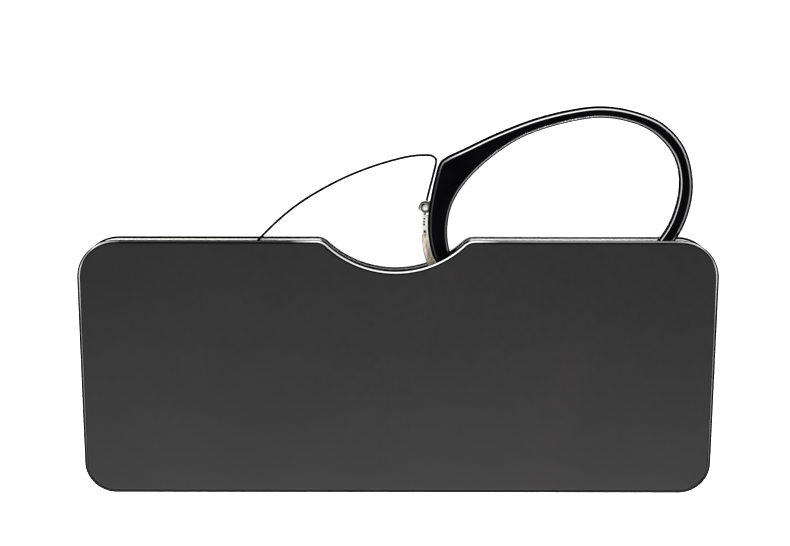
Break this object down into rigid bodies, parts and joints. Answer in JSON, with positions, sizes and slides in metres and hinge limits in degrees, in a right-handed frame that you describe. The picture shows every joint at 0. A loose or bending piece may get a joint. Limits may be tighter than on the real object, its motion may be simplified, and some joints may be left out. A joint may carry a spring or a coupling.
{
  "type": "folding reading glasses",
  "caption": "Armless nose-clip reading glasses that fold at the bridge and slide part way out of a flat slip case with a thumb notch.",
  "frame": {"origin": "centre of the case's flat back, which is the face it rests on", "axes": "+X along the case's length, +Y from the closed edge to the mouth, the way the glasses slide out, +Z from the case's back to its front"},
  "size_m": [0.1, 0.0617, 0.0046],
  "materials": {
    "case_shell": "soft-touch matte",
    "lining": "short pale nap",
    "rim_black": "polished black",
    "wire_black": "satin black enamel",
    "lens_clear": "clear, polished",
    "pad_silicone": "translucent, warm tinted",
    "dark_steel": "blackened",
    "steel": "fine brushed",
    "bright_steel": "polished"
  },
  "bodies": {
    "case": {"case_back_shell": "case_shell", "case_front_shell": "case_shell", "case_edge_wall": "case_shell", "back_lining": "lining", "front_lining": "lining"},
    "right_half": {"right_rim": "rim_black", "right_lens": "lens_clear", "right_nose_pad": "pad_silicone", "right_pad_carrier": "steel", "pivot_arm": "bright_steel", "arm_rivets": "steel", "pivot_screw": "bright_steel", "pivot_washer": "steel", "pivot_nut": "bright_steel", "return_spring": "dark_steel"},
    "left_half": {"left_lens": "lens_clear", "left_wire_rim": "wire_black", "left_pivot_eye": "bright_steel", "spring_peg": "bright_steel", "left_nose_pad": "pad_silicone", "left_pad_carrier": "steel", "left_rim_barrel": "steel", "left_rim_screw": "bright_steel"}
  },
  "joints": [
    {"name": "glasses_slide", "type": "slide", "parent": "case", "child": "right_half", "axis": [0, 1, 0], "range_m": [-0.0212, 0.03]},
    {"name": "bridge_pivot", "type": "hinge", "parent": "right_half", "child": "left_half", "pos_m": [0.0042, 0.0255, 0], "axis": [0, 0, -1], "range_deg": [0, 60], "stiffness_Nm_per_rad": 0.01}
  ]
}
